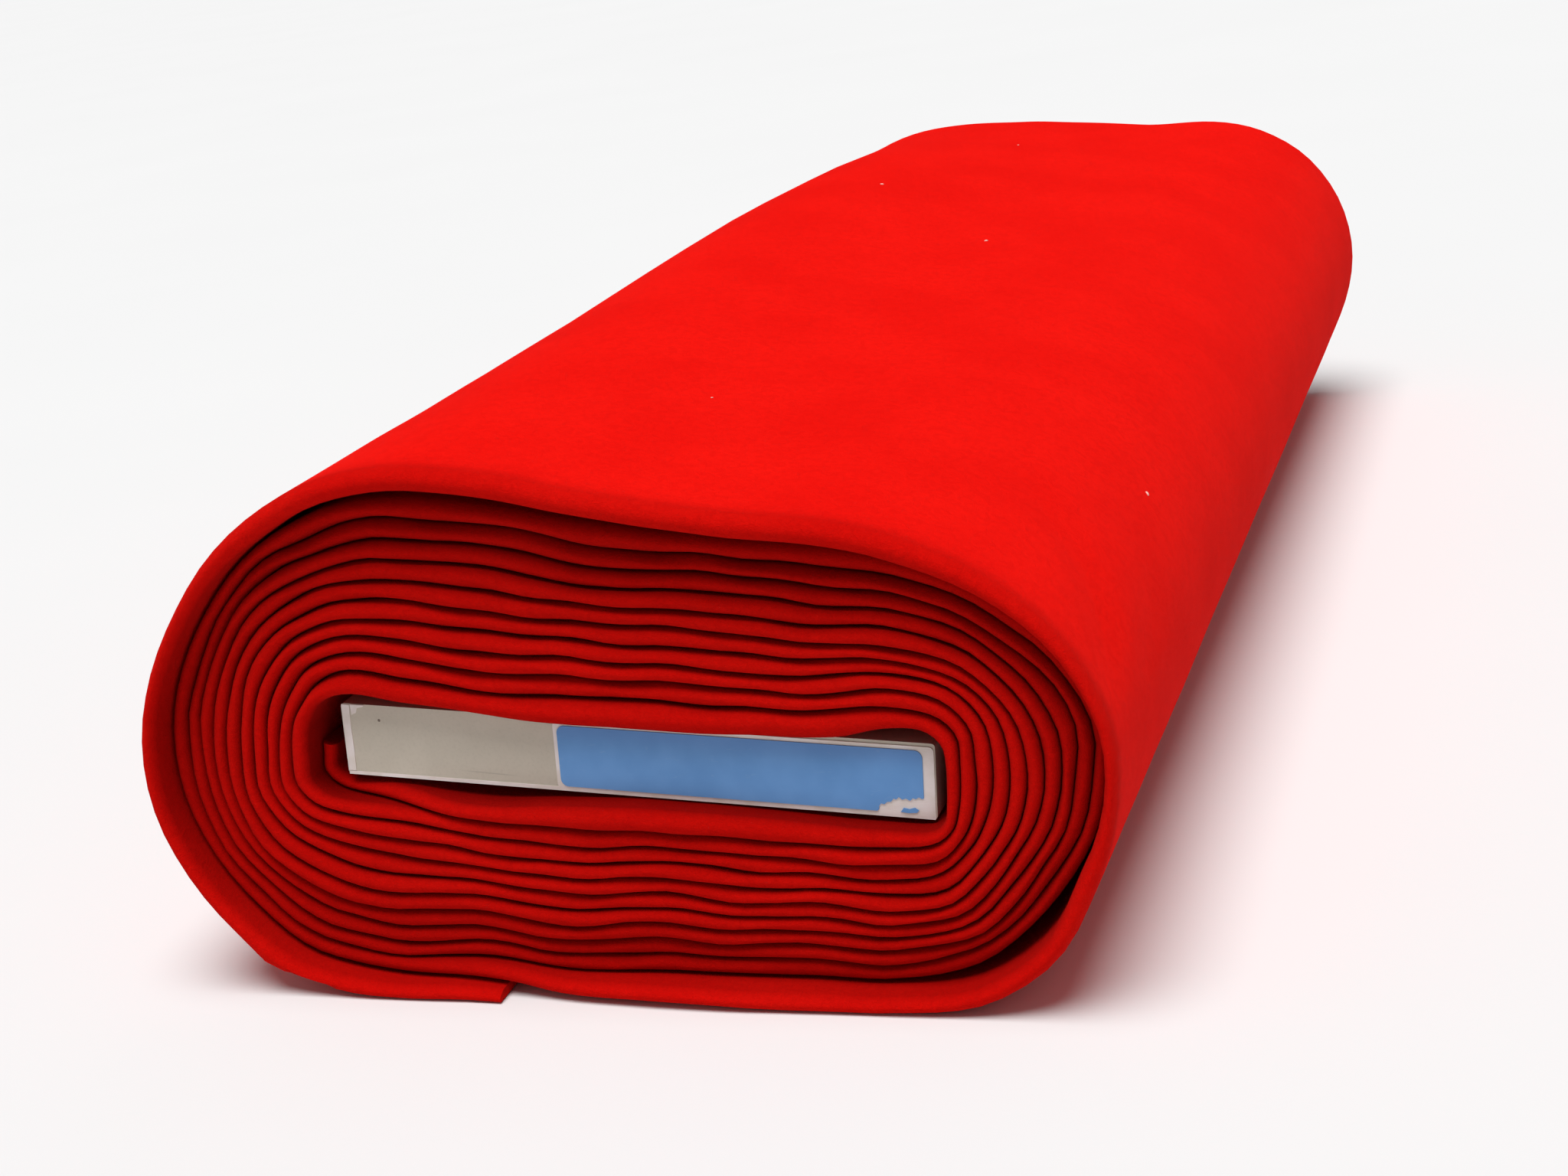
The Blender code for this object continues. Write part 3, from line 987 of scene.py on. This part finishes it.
# %% Label
LABEL_BOX = (-24.0, 97.6, -10.9, 10.3)
LABEL_CORNER = 2.6
LABEL_THICK = 0.35
tear = [
    (82.5, 0.0), (83.1, 0.7), (83.0, 1.5), (83.8, 2.6), (84.9, 2.4), (85.8, 3.3), (87.0, 3.4), (87.9, 4.6),
    (88.7, 4.3), (89.6, 5.2), (90.7, 4.4), (91.8, 4.9), (93.2, 4.2), (94.1, 5.2), (95.0, 4.9), (96.0, 5.6),
    (97.0, 5.1), (97.6, 5.4),
]
left, right, low, high = LABEL_BOX
whole = rounded_box(left, right, low, high, LABEL_CORNER, steps=6)
kept = [point for point in whole if not (point[0] > 80.0 and point[1] < 0.0)]
label_outline = [(x, low + rise) for x, rise in tear] + kept
label_bm = bmesh.new()
plate(label_bm, label_outline, -PAPER - LABEL_THICK, -PAPER)
scrap = [(90.0, 0.2), (92.6, 0.0), (95.2, 0.3), (95.9, 1.1), (94.6, 1.9), (92.9, 1.3), (91.0, 1.6)]
plate(label_bm, [(x, low + rise) for x, rise in scrap], -PAPER - LABEL_THICK, -PAPER)
label = mesh_piece("label", label_bm, [label_print])
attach(label, "root")
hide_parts("board_label")
print("label outline points", len(label_outline))

# %% [markdown]
# ## Lint
# Felt picks up lint wherever it lies. Each speck is found by looking along one line of sight and asking
# where it meets the cloth, so the specks lie on the surface and not near it.

# %% Lint
def speck_shape(bm, centre, normal, size, seed):
    """A small flattened lump that sits half in the nap."""
    side = normal.orthogonal().normalized()
    other = normal.cross(side)
    rng = np.random.default_rng(seed)
    made = bmesh.ops.create_icosphere(bm, subdivisions=1, radius=1.0)
    for vert in made["verts"]:
        rough = 1.0 + 0.45 * (rng.random() - 0.5)
        a, b, c = vert.co * rough * size
        vert.co = centre + side * a * 1.35 + other * b * 0.8 + normal * (c * 0.5)


tree_of_cloth = BVHTree.FromObject(cloth, bpy.context.evaluated_depsgraph_get())
LINT_AT = [(1152, 241, 0.9), (1288, 315, 0.8), (1498, 645, 0.75), (1330, 190, 0.5), (930, 520, 0.4)]
lint_bm = bmesh.new()
for number, (x, y, size) in enumerate(LINT_AT):
    hit, normal, _, _ = tree_of_cloth.ray_cast(EYE, ray_through(x, y))
    if hit is not None:
        speck_shape(lint_bm, hit + normal * 0.2 * MM, normal, size * MM, 40 + number)
pale_lint = Finish("pale_lint", 0.9, specular=0.1)
tuft = pale_lint.noise(pale_lint.place, 2200.0, 2.0)
pale_lint.colour(pale_lint.mix(tuft, (0.92, 0.42, 0.36, 1), (0.95, 0.66, 0.58, 1)))
lint = mesh_piece("lint", lint_bm, [pale_lint.material])
lint.data.polygons.foreach_set("use_smooth", [True] * len(lint.data.polygons))
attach(lint, "root")
print("specks of lint", len(LINT_AT))

# %% [markdown]
# ## Floor
# The bolt was photographed on plain white. A pale matt floor is close to that, and it throws light back
# up under the roll, as a white table does.

# %% Floor
floor_mesh = bpy.data.meshes.new("floor")
half = 60.0
floor_mesh.from_pydata(
    [(-half, -half, -0.0005), (half, -half, -0.0005), (half, half, -0.0005), (-half, half, -0.0005)],
    [],
    [(0, 1, 2, 3)],
)
floor = bpy.data.objects.new("floor", floor_mesh)
bpy.context.scene.collection.objects.link(floor)
pale = Finish("pale_floor", 0.9, specular=0.1)
grain = pale.noise(pale.place, 3.0, 2.0)
pale.colour(pale.mix(grain, (0.78, 0.78, 0.78, 1), (0.80, 0.80, 0.80, 1)))
floor_mesh.materials.append(pale.material)
print("floor of", 2 * half, "metres")

# %% [markdown]
# ## Light
# One broad light hangs high and a little in front, so each fold is bright above and dark below, and the
# loose last turn throws its shadow on the turns behind it. The white room only fills.

# %% Light
world = bpy.data.worlds.new("studio")
bpy.context.scene.world = world
world.use_nodes = True
world.node_tree.nodes["Background"].inputs["Color"].default_value = (1.0, 1.0, 1.0, 1.0)
world.node_tree.nodes["Background"].inputs["Strength"].default_value = 0.18


def sun_light(name, direction, strength, spread):
    data = bpy.data.lights.new(name, "SUN")
    data.energy = strength
    data.angle = math.radians(spread)
    lamp = bpy.data.objects.new(name, data)
    towards = Vector(direction).normalized()
    lamp.rotation_euler = towards.to_track_quat("Z", "Y").to_euler()
    lamp.location = towards * 3.0
    bpy.context.scene.collection.objects.link(lamp)


sun_light("light_above", (0.04, -0.25, 0.96), 3.3, 38.0)
bpy.context.scene.view_settings.view_transform = "Standard"
bpy.context.scene.view_settings.look = "None"
print("one light above, one pale room")
